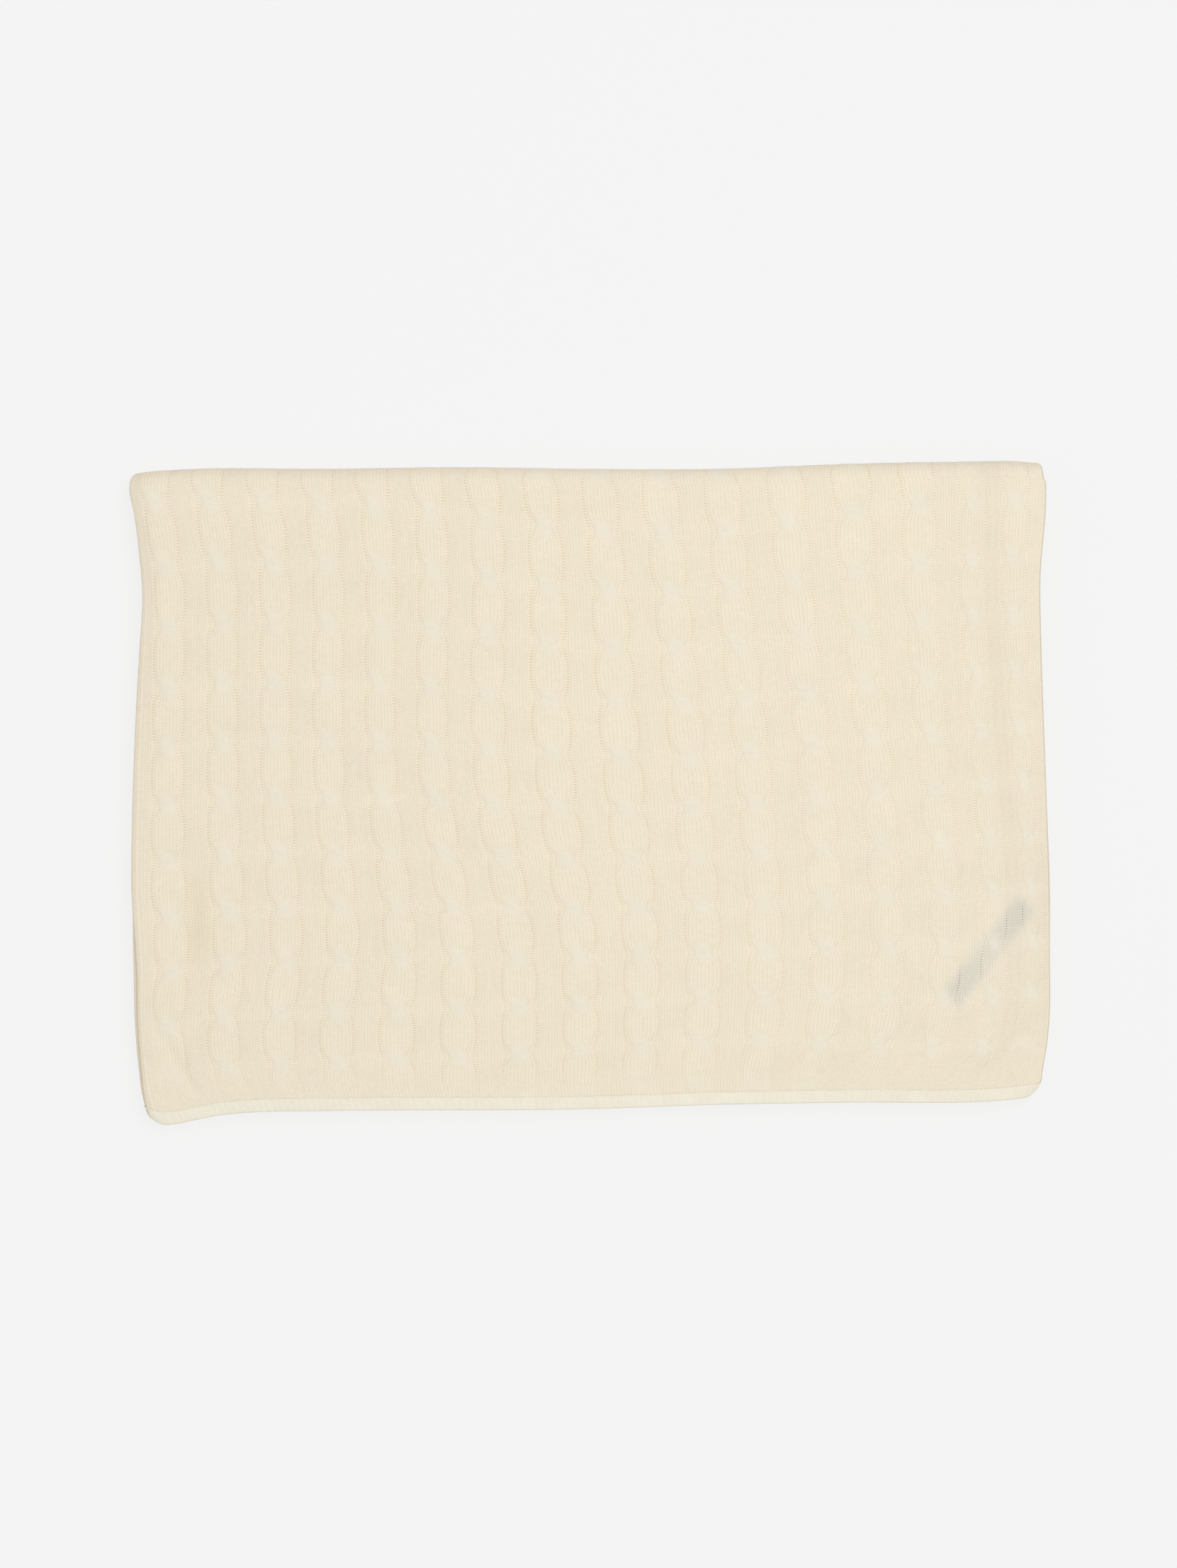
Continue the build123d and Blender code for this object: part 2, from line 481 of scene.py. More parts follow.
class Nodes:
    """A material's node tree, with short calls for the sums that the knit needs."""

    def __init__(self, name):
        self.material = bpy.data.materials.new(name)
        self.material.use_nodes = True
        self.tree = self.material.node_tree
        self.tree.nodes.clear()

    def add(self, kind, **settings):
        node = self.tree.nodes.new(kind)
        for key, value in settings.items():
            setattr(node, key, value)
        return node

    def put(self, socket, value):
        if isinstance(value, bpy.types.NodeSocket):
            self.tree.links.new(value, socket)
        else:
            socket.default_value = value

    def sum(self, operation, *values, clamp=False):
        node = self.add("ShaderNodeMath", operation=operation, use_clamp=clamp)
        for socket, value in zip(node.inputs, values):
            self.put(socket, value)
        return node.outputs[0]

    def wave(self, value, turns=1.0, phase=0.0):
        """0.5 + 0.5 cos of a number of turns."""
        angle = self.sum("MULTIPLY_ADD", value, 2 * math.pi * turns, 2 * math.pi * phase)
        return self.sum("MULTIPLY_ADD", self.sum("COSINE", angle), 0.5, 0.5)

    def mask(self, name):
        return self.add("ShaderNodeAttribute", attribute_name=name).outputs["Fac"]

    def noise(self, scale, detail=2.0, roughness=0.5, streak=1.0):
        """Smooth noise around 0.5, at a scale per metre; a streak stretches it to the lower right."""
        place = self.add("ShaderNodeTexCoord").outputs["Object"]
        if streak != 1.0:
            turned = self.add("ShaderNodeMapping", vector_type="POINT")
            self.put(turned.inputs["Vector"], place)
            turned.inputs["Rotation"].default_value = (0, 0, math.radians(45))
            turned.inputs["Scale"].default_value = (1 / streak, 1, 1)
            place = turned.outputs[0]
        node = self.add("ShaderNodeTexNoise")
        self.put(node.inputs["Vector"], place)
        node.inputs["Scale"].default_value = scale
        node.inputs["Detail"].default_value = detail
        node.inputs["Roughness"].default_value = roughness
        return node.outputs["Fac"]

    def mix(self, amount, first, second, blend="MIX"):
        node = self.add("ShaderNodeMix", data_type="RGBA", blend_type=blend)
        self.put(node.inputs["Factor"], amount)
        self.put(node.inputs[6], first)
        self.put(node.inputs[7], second)
        return node.outputs[2]

    def stitch_place(self):
        """Wale and course of the point."""
        uv = self.add("ShaderNodeUVMap", uv_map="stitch").outputs["UV"]
        split = self.add("ShaderNodeSeparateXYZ")
        self.put(split.inputs[0], uv)
        return split.outputs[0], split.outputs[1]

    def finish(self, colour, height, depth, strength, roughness, sheen):
        bump = self.add("ShaderNodeBump")
        bump.inputs["Strength"].default_value = strength
        bump.inputs["Distance"].default_value = depth
        self.put(bump.inputs["Height"], height)
        shader = self.add("ShaderNodeBsdfPrincipled")
        self.put(shader.inputs["Base Color"], colour)
        self.put(shader.inputs["Normal"], bump.outputs[0])
        self.put(shader.inputs["Roughness"], roughness)
        shader.inputs["Specular IOR Level"].default_value = 0.25
        shader.inputs["Sheen Weight"].default_value = sheen
        shader.inputs["Sheen Roughness"].default_value = 0.55
        shader.inputs["Sheen Tint"].default_value = SHEEN_TINT
        out = self.add("ShaderNodeOutputMaterial")
        self.put(out.inputs["Surface"], shader.outputs[0])
        return self.material


CREAM = (0.93, 0.865, 0.725, 1)
# a deeper cream: painted shade in the recesses of the knit and the hems and on a patch of the top leaf, and
# a tone along the thread's twist
DEEP_CREAM_SHADE_AND_TONE = (0.72, 0.58, 0.385, 1)
CREAM_PALE = (0.885, 0.83, 0.69, 1)
CREAM_PINK = (0.94, 0.85, 0.71, 1)
CREAM_GREEN = (0.91, 0.865, 0.70, 1)
RIB_PALE = (0.93, 0.90, 0.775, 1)
NAVY = (0.030, 0.045, 0.085, 1)
NAVY_PALE = (0.07, 0.095, 0.16, 1)
SHADE_OVER_LABEL = (0.66, 0.80, 1.0, 1)
SHEEN_TINT = (1.0, 0.95, 0.86, 1)

# Bump distances, in metres
STITCH_DEPTH = 0.0005
THREAD_DEPTH = 0.0002
WEAVE_DEPTH = 0.0001


def stitches(nodes):
    """Height of the knit stitches, two slanted legs to each wale and course, and a tone for each."""
    wale, course = nodes.stitch_place()
    centred = nodes.sum("FRACT", nodes.sum("ADD", wale, 0.5))
    local = nodes.sum("ABSOLUTE", nodes.sum("SUBTRACT", centred, 0.5))
    leg = nodes.sum("MULTIPLY_ADD", nodes.sum("ABSOLUTE", nodes.sum("SUBTRACT", local, 0.3)), -3.3, 1.0)
    leg = nodes.sum("POWER", nodes.sum("MAXIMUM", leg, 0.0), 0.7)
    slant = nodes.sum("MULTIPLY_ADD", local, -1.5, course)
    leg = nodes.sum("MULTIPLY", leg, nodes.sum("MULTIPLY_ADD", nodes.wave(slant), 0.4, 0.6))
    middle = nodes.sum("MULTIPLY_ADD", local, -6.0, 1.0, clamp=True)
    bridge = nodes.sum("MULTIPLY", middle, nodes.wave(course, 1.0, 0.3))
    height = nodes.sum("MAXIMUM", leg, bridge)
    cell = nodes.add("ShaderNodeCombineXYZ")
    nodes.put(cell.inputs[0], nodes.sum("FLOOR", nodes.sum("ADD", wale, 0.5)))
    nodes.put(cell.inputs[1], nodes.sum("FLOOR", slant))
    chance = nodes.add("ShaderNodeTexWhiteNoise", noise_dimensions="2D")
    nodes.put(chance.inputs["Vector"], cell.outputs[0])
    return height, course, chance.outputs["Value"]


def knit_material():
    nodes = Nodes("cable_knit_cotton")
    height, course, chance = stitches(nodes)
    ladder, knot, label_over = nodes.mask("ladder"), nodes.mask("knot"), nodes.mask("label")
    rungs = nodes.wave(course)
    fuzz = nodes.noise(1400, 3.0, 0.6)
    streaks = nodes.noise(1500, 2.0, 0.6, streak=9.0)
    soft = nodes.noise(420, 2.0)
    mottle = nodes.noise(38, 2.0)
    tint = nodes.noise(95, 1.0)
    plain = nodes.sum("SUBTRACT", 1.0, nodes.sum("MAXIMUM", ladder, knot))
    relief = nodes.sum("MULTIPLY", height, plain)
    relief = nodes.sum("ADD", relief, nodes.sum("MULTIPLY", rungs, ladder))
    relief = nodes.sum("MULTIPLY_ADD", fuzz, 0.5, relief)
    relief = nodes.sum("MULTIPLY_ADD", soft, 0.35, relief)
    relief = nodes.sum("MULTIPLY_ADD", nodes.sum("MULTIPLY", streaks, knot), 1.6, relief)

    # yarn colours: a drifting hue, and paler on knots; the deeper colour between the stitches and down the
    # ladders is painted shade in their recesses
    hue = nodes.mix(nodes.sum("MULTIPLY_ADD", tint, 3.0, -1.0, clamp=True), CREAM_PINK, CREAM_GREEN)
    colour = nodes.mix(0.45, CREAM, hue)
    gap = nodes.sum("MULTIPLY", nodes.sum("SUBTRACT", 1.0, height), plain)
    # painted shade in the recesses between the stitches
    colour = nodes.mix(nodes.sum("MULTIPLY", gap, 0.68), colour, DEEP_CREAM_SHADE_AND_TONE)
    # painted shade down the ladders, darkest in the holes between their rungs
    between = nodes.sum("MULTIPLY_ADD", rungs, -0.8, 0.9)
    colour = nodes.mix(nodes.sum("MULTIPLY", ladder, between), colour, DEEP_CREAM_SHADE_AND_TONE)
    colour = nodes.mix(nodes.sum("MULTIPLY", knot, 0.35), colour, CREAM_PALE)
    # a grey shade over it, which differs from stitch to stitch and along the knots' strands
    shade = nodes.sum("MULTIPLY_ADD", mottle, 0.06, 0.95)
    shade = nodes.sum("MULTIPLY_ADD", nodes.sum("MULTIPLY", chance, plain), 0.035, shade)
    shade = nodes.sum("MULTIPLY_ADD", nodes.sum("MULTIPLY", streaks, knot), 0.16, shade)
    shade = nodes.sum("MULTIPLY_ADD", knot, -0.155, shade)
    grey = nodes.add("ShaderNodeCombineColor")
    for socket in grey.inputs[:3]:
        nodes.put(socket, shade)
    colour = nodes.mix(1.0, colour, grey.outputs[0], "MULTIPLY")
    # the label shows as a tint, and as itself through the most open stitches
    seen = nodes.sum("MULTIPLY_ADD", gap, 0.5, nodes.sum("MULTIPLY_ADD", ladder, 0.25, 0.08))
    label = nodes.sum("MULTIPLY", label_over, seen)
    colour = nodes.mix(label, colour, nodes.mix(1.0, colour, SHADE_OVER_LABEL, "MULTIPLY"))
    open_knit = nodes.sum("MAXIMUM", nodes.sum("POWER", ladder, 2.0), nodes.sum("MULTIPLY", gap, 0.42))
    hole = nodes.sum("MULTIPLY", nodes.sum("MULTIPLY", label_over, label_over), open_knit)
    hole = nodes.sum("MULTIPLY", hole, nodes.sum("MULTIPLY_ADD", rungs, -0.6, 0.68))
    colour = nodes.mix(hole, colour, NAVY)
    # painted shade on a patch of the top leaf, deepest between its courses
    patch_shade = nodes.sum("MULTIPLY", nodes.mask("patch_shade"), nodes.sum("MULTIPLY_ADD", rungs, -0.3, 0.45))
    colour = nodes.mix(patch_shade, colour, DEEP_CREAM_SHADE_AND_TONE)
    roughness = nodes.sum("MULTIPLY_ADD", fuzz, 0.12, 0.84)
    return nodes.finish(colour, relief, STITCH_DEPTH, 0.5, roughness, 0.2)


def rib_material():
    nodes = Nodes("rib_knit_cotton")
    height, course, chance = stitches(nodes)
    fuzz = nodes.noise(1400, 3.0, 0.6)
    mottle = nodes.noise(60, 2.0)
    colour = nodes.mix(nodes.sum("MULTIPLY_ADD", mottle, 1.6, -0.3, clamp=True), RIB_PALE, CREAM_PALE)
    gap = nodes.sum("SUBTRACT", 1.0, height)
    groove = nodes.mask("ladder")
    # painted shade: a deeper cream between the stitches and in the grooves between the ribs
    colour = nodes.mix(nodes.sum("MULTIPLY", gap, 0.2), colour, DEEP_CREAM_SHADE_AND_TONE)
    colour = nodes.mix(nodes.sum("MULTIPLY", groove, 0.08), colour, DEEP_CREAM_SHADE_AND_TONE)
    relief = nodes.sum("MULTIPLY_ADD", fuzz, 0.5, nodes.sum("MULTIPLY_ADD", chance, 0.4, height))
    return nodes.finish(colour, relief, STITCH_DEPTH, 0.5, 0.9, 0.2)


def thread_material():
    nodes = Nodes("sewing_thread")
    twist = nodes.wave(nodes.noise(900, 1.0), 3.0)
    colour = nodes.mix(nodes.sum("MULTIPLY", twist, 0.2), CREAM, DEEP_CREAM_SHADE_AND_TONE)
    return nodes.finish(colour, twist, THREAD_DEPTH, 0.5, 0.85, 0.15)


def label_material():
    nodes = Nodes("label_satin")
    across, along = nodes.stitch_place()
    weave = nodes.sum("MULTIPLY", nodes.wave(across), nodes.wave(along, 1.0, 0.25))
    colour = nodes.mix(nodes.sum("MULTIPLY", weave, 0.35), NAVY, NAVY_PALE)
    return nodes.finish(colour, weave, WEAVE_DEPTH, 0.5, 0.45, 0.1)


KNIT = knit_material()
RIB = rib_material()
THREAD = thread_material()
LABEL = label_material()


# ---------------------------------------------------------------- the two stretches of cloth

LEAF_START = FRONT + HEM_DEPTH - SEAM_WIDTH / 4
PARTING = FRONT_AXIS + 9  # in leaf 2, where one mesh ends and the next begins
OUTER_LEVEL = 2.3  # from the double's middle to its face
INNER_LEVEL = 2.1
UNDER_RELIEF = 0.8  # of the top leaf's relief, on the underside and on the inner leaves
INNER_RELIEF = 0.75
START_INSET = 3.6  # how far each free end's fold lies in from the stack's left edge
FINISH_INSET = 1.5

# Soft lines in the top leaf: a point on each and the direction square to it
RIGHT_VALLEY = ((284, -196), (0.72, -0.69))
LEFT_VALLEY = ((-292, -194), (-0.86, -0.51))
CREASE = ((-78, -62), (0.80, 0.60))
RIGHT_DEPTH, LEFT_DEPTH, CREASE_DEPTH = 1.2, 1.3, 0.8
WAVE_HEIGHT = 0.22
SHADE_PATCH = (-276, -96)  # where a patch of the top leaf is painted with shade, and its half width and height
SHADE_PATCH_SIZE = (7, 32)


def past(line, x, y):
    """How far a point is past a line, and how far along it."""
    (at_x, at_y), (square_x, square_y) = line
    dx, dy = x - at_x, y - at_y
    return dx * square_x + dy * square_y, dx * square_y - dy * square_x


def corner_fade(x, y):
    """1 in the front corners, where the knit lies flat."""
    right, left = past(RIGHT_VALLEY, x, y)[0], past(LEFT_VALLEY, x, y)[0]
    return ease(-6, 8, right) * ease(-140, -185, y) + ease(-8, 8, left) * ease(-140, -180, y)


def top_swell(x, y):
    """Soft valleys of the top leaf: both front corners, and a crease left of the middle."""
    right, left = past(RIGHT_VALLEY, x, y)[0], past(LEFT_VALLEY, x, y)[0]
    right_corner = bell(right, 5.0) * ease(-150, -180, y) + 0.8 * ease(-3, 6, right) * ease(-140, -190, y)
    left_corner = bell(left, 5.0) * ease(-160, -190, y) + 0.5 * ease(-3, 6, left) * ease(-160, -195, y)
    across_crease, along_crease = past(CREASE, x, y)
    crease = bell(across_crease, 6.0) * bell(along_crease, 60)
    waves = np.sin(x / 61 + 1.3) * np.sin(y / 73 + 0.4) + 0.6 * np.sin(x / 33 - y / 47)
    valleys = RIGHT_DEPTH * right_corner + LEFT_DEPTH * left_corner + CREASE_DEPTH * crease
    return WAVE_HEIGHT * waves - valleys


label_low, label_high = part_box("corner_label")
LABEL_MIDDLE = (np.array(label_low) + np.array(label_high)) / 2 / MM
LABEL_COS, LABEL_SIN = math.cos(LABEL_ANGLE), math.sin(LABEL_ANGLE)


def label_place(x, y):
    """Position on the label, along and across it, in millimetres."""
    dx, dy = x - LABEL_MIDDLE[0], y - LABEL_MIDDLE[1]
    return dx * LABEL_COS + dy * LABEL_SIN, dy * LABEL_COS - dx * LABEL_SIN


def label_mask(x, y):
    along, across = label_place(x, y)
    length, width, _ = LABEL_SIZE
    along, across = abs(along), abs(across)
    depth = 0.75 + 0.25 * ease(8, 30, along)  # it lies a little deeper at its middle
    return depth * ease(length / 2 + 3, length / 2 - 8, along) * ease(width / 2 + 3, width / 2 - 7, across)


def wander(way, middle, swing, length, phase=0.0):
    """An edge's inset, which wanders a little along the cloth."""
    return middle + swing * np.sin(way / length + phase)


def near_hem(y, reach):
    """What is left of the relief near a hem, which holds the knit flat."""
    return 0.15 + 0.85 * ease(6, reach, y - FRONT)


def outer_cloth(per_wale, step):
    """Leaf 1, the outer back turn and leaf 2."""
    path = Path().line(LEAF_START, BACK_AXIS, LEAF1_HEIGHT, 1, step)
    top = len(path.y)
    path.turn(BACK_AXIS, MID_HEIGHT, 3 * PLY + HALF_GAP / 2, math.pi / 2, -math.pi / 2, 1, 20)
    path.line(BACK_AXIS, PARTING, PLY, -1, 1.5 * step)
    way = path.travel(PLY / 2)[:, None]
    along = way - way[top - 1]
    y = np.array(path.y)[:, None]
    left_inset = np.where(along < 0, START_INSET * (1 - ease(-135, -60, y)), wander(along, 0.8, 0.8, 90))
    right_inset = np.where(along <= 0, wander(way, 0.7, 0.4, 83), wander(way, 2.0, 1.0, 83, 1.0))
    lining_inset = wander(way, 1.9, 0.9, 57, 2.0)
    cloth = Hairpin(path, left_inset * ease(0, 30, abs(along)), right_inset, lining_inset)

    faces = face_wales(per_wale, ladder_detail=True)
    backs = np.append(np.arange(NOSE_WALE, WALES, COARSE), WALES)
    wale = np.broadcast_to(faces[::-1], (len(y), len(faces)))
    course = course_at(wale / WALES, np.minimum(y, BACK_AXIS) + 0 * wale)
    course = np.where(along > 0, course + along / COURSE, course)
    x = cloth.across(faces)[:, ::-1]
    relief, draw, knot, ladder = knit(wale, course, stretched(x, wale))
    on_top = (along <= 0) * 1.0
    lie = settle(x, y + 0 * x, LEAF1_HEIGHT)[1]
    flattened = near_hem(y, 36) * (1 - 0.7 * corner_fade(x, lie))
    fade = np.where(along <= 0, flattened, 1.0) * ease(NOSE_WALE + 1, 7, wale)
    x = x + draw * fade
    strength = np.where(along <= 0, 1.0, UNDER_RELIEF) * (1 - 0.7 * ease(BACK_AXIS - 16, BACK - 4, y))
    selvedge = 0.3 * bell(wale - (WALES - 1), 1.0)
    swell_fade = ease(BACK_AXIS, BACK_AXIS - 30, y) * ease(HEM_DEPTH, 24, y - FRONT)
    swell = top_swell(x, lie) * on_top * swell_fade
    normal = OUTER_LEVEL + strength * relief * fade + selvedge + swell
    masks = {
        "knot": knot * fade,
        "ladder": ladder * (0.2 + 0.8 * fade) * (1 - 0.18 * ease(-60, 200, x) * on_top),
        "label": label_mask(x, lie) * on_top,
        # painted shade on a patch of the top leaf
        "patch_shade": bell(x - SHADE_PATCH[0], SHADE_PATCH_SIZE[0]) * bell(lie - SHADE_PATCH[1], SHADE_PATCH_SIZE[1]) * on_top,
    }
    lining = path.travel(-PLY / 2)[:, None] / COURSE
    face = (x, normal, course, masks)
    hairpin(cloth, faces, backs, face, OUTER_LEVEL, LINING_LEVEL, WRONG_SIDE, lining)
    return cloth.mesh("outer_cloth", KNIT, faces, backs)


def inner_cloth(per_wale, step):
    """The front turn, leaf 3, the inner back turn and leaf 4."""
    path = Path().line(PARTING, FRONT_AXIS, PLY, -1, step)
    path.turn(FRONT_AXIS, 2 * PLY, PLY, -math.pi / 2, -3 * math.pi / 2, 1, 12)
    path.line(FRONT_AXIS, BACK_AXIS, 3 * PLY, 1, step)
    path.turn(BACK_AXIS, MID_HEIGHT, PLY + HALF_GAP / 2, -math.pi / 2, math.pi / 2, -1, 12)
    path.line(BACK_AXIS, LEAF_START, LEAF4_HEIGHT, -1, step)
    way = path.travel(PLY / 2)[:, None]
    y = np.array(path.y)[:, None]
    lower = np.array(path.z)[:, None] < MID_HEIGHT
    left_inset = np.where(lower, wander(way, 1.0, 0.9, 90), wander(way, 1.6, 1.2, 70))
    left_inset = left_inset * ease(0, 25, BACK - y)
    right_inset = wander(way, 2.3, 1.1, 71, 4.0)
    lining_inset = wander(way, 2.6, 1.0, 63, 5.0)
    cloth = Hairpin(path, left_inset, right_inset, lining_inset)
    faces = face_wales(per_wale)
    backs = np.append(np.arange(NOSE_WALE, WALES, COARSE), WALES)
    wale = np.broadcast_to(faces[::-1], (len(y), len(faces)))
    course = way / COURSE + 0 * wale
    x = cloth.across(faces)[:, ::-1]
    relief, draw, knot, ladder = knit(wale, course, stretched(x, wale))
    fade = np.where(lower, 1.0, near_hem(y, 34)) * ease(NOSE_WALE + 1, 7, wale)
    x = x + draw * fade
    normal = INNER_LEVEL + INNER_RELIEF * np.clip(relief, -1, 1.35) * fade
    masks = {"knot": knot * fade, "ladder": ladder * (0.35 + 0.65 * fade)}
    lining = path.travel(-PLY / 2)[:, None] / COURSE
    face = (x, normal, course, masks)
    hairpin(cloth, faces, backs, face, INNER_LEVEL, LINING_LEVEL, WRONG_SIDE, lining)
    return cloth.mesh("inner_cloth", KNIT, faces, backs)


ROW_STEP = COURSE
outer = outer_cloth(2, ROW_STEP)
inner = inner_cloth(1, 2 * ROW_STEP)


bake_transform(outer)
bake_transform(inner)
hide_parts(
    "leaf1_face_ply", "leaf1_lining_ply", "leaf1_book_fold",
    "leaf2_face_ply", "leaf2_lining_ply", "leaf2_book_fold",
    "outer_turn_face_ply", "outer_turn_lining_ply", "outer_turn_book_fold",
)
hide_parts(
    "leaf3_face_ply", "leaf3_lining_ply", "leaf3_book_fold",
    "leaf4_face_ply", "leaf4_lining_ply", "leaf4_book_fold",
    "inner_turn_face_ply", "inner_turn_lining_ply", "inner_turn_book_fold",
    "front_turn_face_ply", "front_turn_lining_ply", "front_turn_book_fold",
)


# ---------------------------------------------------------------- hems, chains and label

RIB_PITCH = 2.31  # wales
RIB_HEIGHT = 0.12
HEM_MIDDLE = 1.6  # from the double's middle to the middle of each band
HEM_HALF = 1.05  # half the band's thickness
HEM_EDGE = 1.6  # how far in from its free edge the band is rounded
HEM_ROWS = (0.0, 0.25, 0.7, 1.3, 2.2, 3.4, 4.8, 6.2, 7.4, 8.3)
PLY_INSET = 1.0  # how far a band or chain stops short of the cloth's open edge
CHAIN_LEVEL = 2.0
CHAIN_RADIUS, CHAIN_SWELL = 0.6, 0.1
CHAIN_PITCH = 3  # steps to a chain stitch


def hem(name, height, up, inset):
    """A ribbed band over both plies of a free end."""
    path = Path()
    places = HEM_ROWS if up > 0 else HEM_ROWS[::-1]
    for place in places:
        path.add(FRONT + place, height, 0, up)
    rows = np.array(places)[:, None]
    from_edge = 1 - np.minimum(rows, HEM_EDGE) / HEM_EDGE
    taper = 1 - 0.15 * ease(6.5, HEM_ROWS[-1], rows)
    half = HEM_HALF * np.sqrt(np.clip(1 - from_edge**2, 0.003, 1)) * taper
    level, back = HEM_MIDDLE + half, HEM_MIDDLE - half
    cloth = Hairpin(path, inset, PLY_INSET, PLY_INSET)
    wales = face_wales(3)
    wale = wales[::-1]
    ribs = np.cos(2 * math.pi * wale / RIB_PITCH)
    normal = level + RIB_HEIGHT * ribs * ease(0, 1.5, rows)
    x = cloth.across(wales)[:, ::-1]
    # the rib valleys, which the hem's material darkens with painted shade
    masks = {"ladder": np.clip(-ribs, 0, 1) ** 1.5 + 0 * normal}
    course = rows / COURSE + 0 * normal
    hairpin(cloth, wales, wales, (x, normal, course, masks), level, level, back, rows / COURSE)
    piece = cloth.mesh(f"{name}_band", RIB, wales, wales)
    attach(piece, "upper_half")
    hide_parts(name)
    return piece


def chain(name, height, up, inset):
    """The chain of linking stitches between a hem and its leaf, round the whole hairpin."""
    place = FRONT + HEM_DEPTH
    path = Path().line(place, place, height, up, 1)
    cloth = Hairpin(path, inset, PLY_INSET, PLY_INSET)
    wales = face_wales(3)
    depth = CHAIN_LEVEL
    line_x = np.concatenate([cloth.across(wales)[0, ::-1], cloth.across(wales)[0]])
    line_n = np.concatenate([np.full(len(wales), depth), np.full(len(wales), -depth)])
    turn = np.linspace(math.pi / 2, 3 * math.pi / 2, 9)[1:-1]
    fold_x = cloth.left[0, 0] + depth * (1.1 + np.cos(turn))
    line_x = np.insert(line_x, len(wales), fold_x)
    line_n = np.insert(line_n, len(wales), depth * np.sin(turn))
    count = np.arange(len(line_x))
    bead = CHAIN_RADIUS + CHAIN_SWELL * np.cos(2 * math.pi * count / CHAIN_PITCH)
    ring = np.linspace(0, 2 * math.pi, 7)[None, :-1]
    out = np.stack([np.gradient(line_n), -np.gradient(line_x)], -1)
    out /= np.linalg.norm(out, axis=1, keepdims=True)
    x = line_x[:, None] + bead[:, None] * np.cos(ring) * out[:, :1]
    n = line_n[:, None] + bead[:, None] * np.cos(ring) * out[:, 1:]
    points = np.stack(settle(x, place + bead[:, None] * np.sin(ring), height + up * n), -1)
    rows, columns = x.shape
    faces = []
    for r in range(rows - 1):
        for c in range(columns):
            d = (c + 1) % columns
            faces.append((r * columns + c, r * columns + d, (r + 1) * columns + d, (r + 1) * columns + c))
    faces += [tuple(range(columns))[::-1], tuple((rows - 1) * columns + c for c in range(columns))]
    if up < 0:
        faces = [face[::-1] for face in faces]
    uv = np.stack([count[:, None] / CHAIN_PITCH + 0 * x, ring / 6 + 0 * x], -1).reshape(-1, 2)
    piece = mesh_object(f"{name}_chain", points.reshape(-1, 3), faces, uv, {}, THREAD)
    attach(piece, "upper_half")
    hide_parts(name)
    return piece


start_hem = hem("starting_hem", LEAF1_HEIGHT, 1, START_INSET)
finish_hem = hem("finishing_hem", LEAF4_HEIGHT, -1, FINISH_INSET)
start_chain = chain("starting_linking_seam", LEAF1_HEIGHT, 1, START_INSET)
finish_chain = chain("finishing_linking_seam", LEAF4_HEIGHT, -1, FINISH_INSET)


def grid_slab(name, length, width, thickness, place, material, pitch=1.0):
    """A rounded slab of little thickness on the label, lying along it."""
    u = np.linspace(-length / 2, length / 2, max(2, round(length / pitch)) + 1)
    v = np.linspace(-width / 2, width / 2, max(2, round(width / pitch)) + 1)
    uu, vv = np.meshgrid(u, v, indexing="ij")
    edge = np.minimum(length / 2 - abs(uu), width / 2 - abs(vv))
    from_edge = 1 - np.clip(edge / (thickness / 2), 0, 1)
    half = thickness / 2 * np.sqrt(np.clip(1 - from_edge**2, 0.02, 1))
    points, faces = [], []
    for side in (1, -1):
        along, across = uu + place[0], vv + place[1]
        x = LABEL_MIDDLE[0] + along * LABEL_COS - across * LABEL_SIN
        y = LABEL_MIDDLE[1] + along * LABEL_SIN + across * LABEL_COS
        z = settle(x, y, LEAF1_HEIGHT + place[2] + side * half)[2]
        points.append(np.stack([x, y, z], -1).reshape(-1, 3))
    n_u, n_v = uu.shape
    count = n_u * n_v
    for i in range(n_u - 1):
        for j in range(n_v - 1):
            a, b = i * n_v + j, (i + 1) * n_v + j
            c, d = b + 1, a + 1
            faces += [(a, b, c, d), (d + count, c + count, b + count, a + count)]
    rim = [i * n_v for i in range(n_u)] + [(n_u - 1) * n_v + j for j in range(1, n_v)]
    rim += [i * n_v + n_v - 1 for i in range(n_u - 2, -1, -1)] + [j for j in range(n_v - 2, 0, -1)]
    for a, b in zip(rim, rim[1:] + rim[:1]):
        faces.append((a, a + count, b + count, b))
    uv = np.tile(np.stack([uu, vv], -1).reshape(-1, 2) * 2.5, (2, 1))
    return mesh_object(name, np.concatenate(points), faces, uv, {}, material)


label = grid_slab("woven_label", *LABEL_SIZE, (0, 0, 0), LABEL)
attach(label, "upper_half")
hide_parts("corner_label")

STITCHES = 7
STITCH_SIZE = (0.6, 2.2, 0.35)
STITCH_LINE = LABEL_SIZE[0] / 2 - 3  # where the stitches lie along the label
STITCH_LIFT = 0.42


def label_stitch(k):
    across = (k - (STITCHES - 1) / 2) * LABEL_SIZE[1] / STITCHES
    return grid_slab(f"label_stitch_{k + 1}", *STITCH_SIZE, (STITCH_LINE, across, STITCH_LIFT), THREAD, 0.2)


stitch_row = [label_stitch(k) for k in range(STITCHES)]
for stitch in stitch_row:
    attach(stitch, "upper_half")
    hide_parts("label_stitches")


# ---------------------------------------------------------------- floor, light and camera

WHITE = (0.913, 0.913, 0.913, 1)
FLOOR_GLOW = 0.85
FLOOR_GREY = (0.13, 0.13, 0.13, 1)
FLOOR_HALF = 30.0
FLOOR_LEVEL = -0.0005


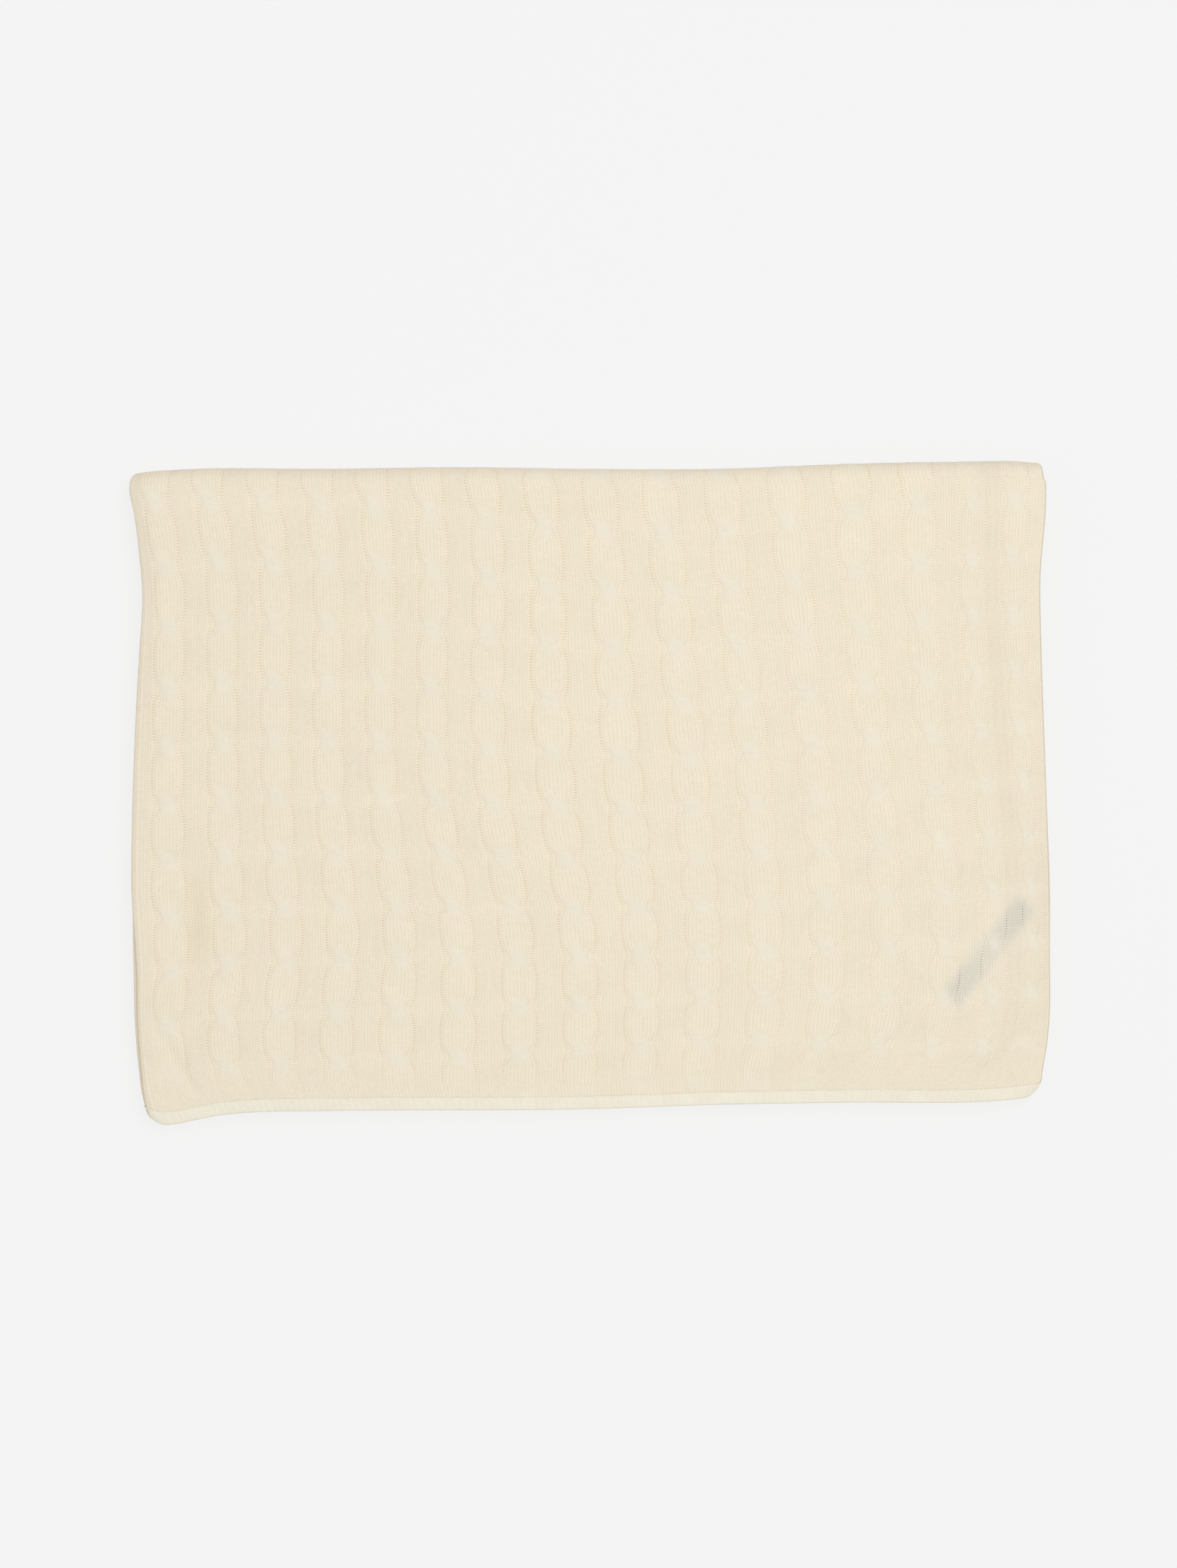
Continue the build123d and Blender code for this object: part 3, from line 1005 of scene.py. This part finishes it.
def floor():
    """A wide pale floor, which glows a little so that it stays evenly pale."""
    mesh = bpy.data.meshes.new("floor")
    signs = ((-1, -1), (1, -1), (1, 1), (-1, 1))
    corners = [(x * FLOOR_HALF, y * FLOOR_HALF, FLOOR_LEVEL) for x, y in signs]
    mesh.from_pydata(corners, [], [(0, 1, 2, 3)])
    nodes = Nodes("floor")
    glow = nodes.add("ShaderNodeEmission")
    glow.inputs["Color"].default_value = WHITE
    glow.inputs["Strength"].default_value = FLOOR_GLOW
    matt = nodes.add("ShaderNodeBsdfDiffuse")
    matt.inputs["Color"].default_value = FLOOR_GREY
    both = nodes.add("ShaderNodeAddShader")
    nodes.put(both.inputs[0], glow.outputs[0])
    nodes.put(both.inputs[1], matt.outputs[0])
    out = nodes.add("ShaderNodeOutputMaterial")
    nodes.put(out.inputs["Surface"], both.outputs[0])
    mesh.materials.append(nodes.material)
    obj = bpy.data.objects.new("floor", mesh)
    bpy.context.scene.collection.objects.link(obj)


def area_light(name, place, aim, size, power):
    data = bpy.data.lights.new(name, "AREA")
    data.shape = "DISK"
    data.size = size
    data.energy = power
    obj = bpy.data.objects.new(name, data)
    bpy.context.scene.collection.objects.link(obj)
    obj.location = place
    direction = np.array(aim) - np.array(place)
    tilt = math.atan2(math.hypot(direction[0], direction[1]), -direction[2])
    heading = math.atan2(direction[1], direction[0]) - math.pi / 2
    obj.rotation_euler = (tilt, 0, heading)


def world(overhead, horizon):
    """A soft sky, brightest overhead."""
    sky = bpy.data.worlds.new("studio")
    bpy.context.scene.world = sky
    sky.use_nodes = True
    tree = sky.node_tree
    background = tree.nodes["Background"]
    background.inputs["Color"].default_value = (1, 1, 1, 1)
    place = tree.nodes.new("ShaderNodeTexCoord")
    split = tree.nodes.new("ShaderNodeSeparateXYZ")
    rise = tree.nodes.new("ShaderNodeMapRange")
    rise.inputs["To Min"].default_value = horizon
    rise.inputs["To Max"].default_value = overhead
    tree.links.new(place.outputs["Generated"], split.inputs[0])
    tree.links.new(split.outputs[2], rise.inputs["Value"])
    tree.links.new(rise.outputs[0], background.inputs["Strength"])


floor()
world(overhead=1.0, horizon=0.25)
area_light("overhead", place=(0.55, 0.4, 2.6), aim=(0, 0, 0), size=1.4, power=22)

IMAGE_HEIGHT = 1.106  # metres of the top face that the frame's height takes in
CAMERA_HEIGHT = 3.0  # above the top face
CAMERA_PLACE = (-0.00125, 0.0015)
SENSOR = 36.0
camera_data = bpy.data.cameras.new("camera")
camera_data.sensor_fit = "VERTICAL"
camera_data.sensor_height = SENSOR
camera_data.lens = SENSOR * CAMERA_HEIGHT / IMAGE_HEIGHT
camera = bpy.data.objects.new("camera", camera_data)
bpy.context.scene.collection.objects.link(camera)
camera.location = (*CAMERA_PLACE, CAMERA_HEIGHT + (8 * PLY + HALF_GAP) * MM)
bpy.context.scene.camera = camera
bpy.context.scene.view_settings.view_transform = "Standard"
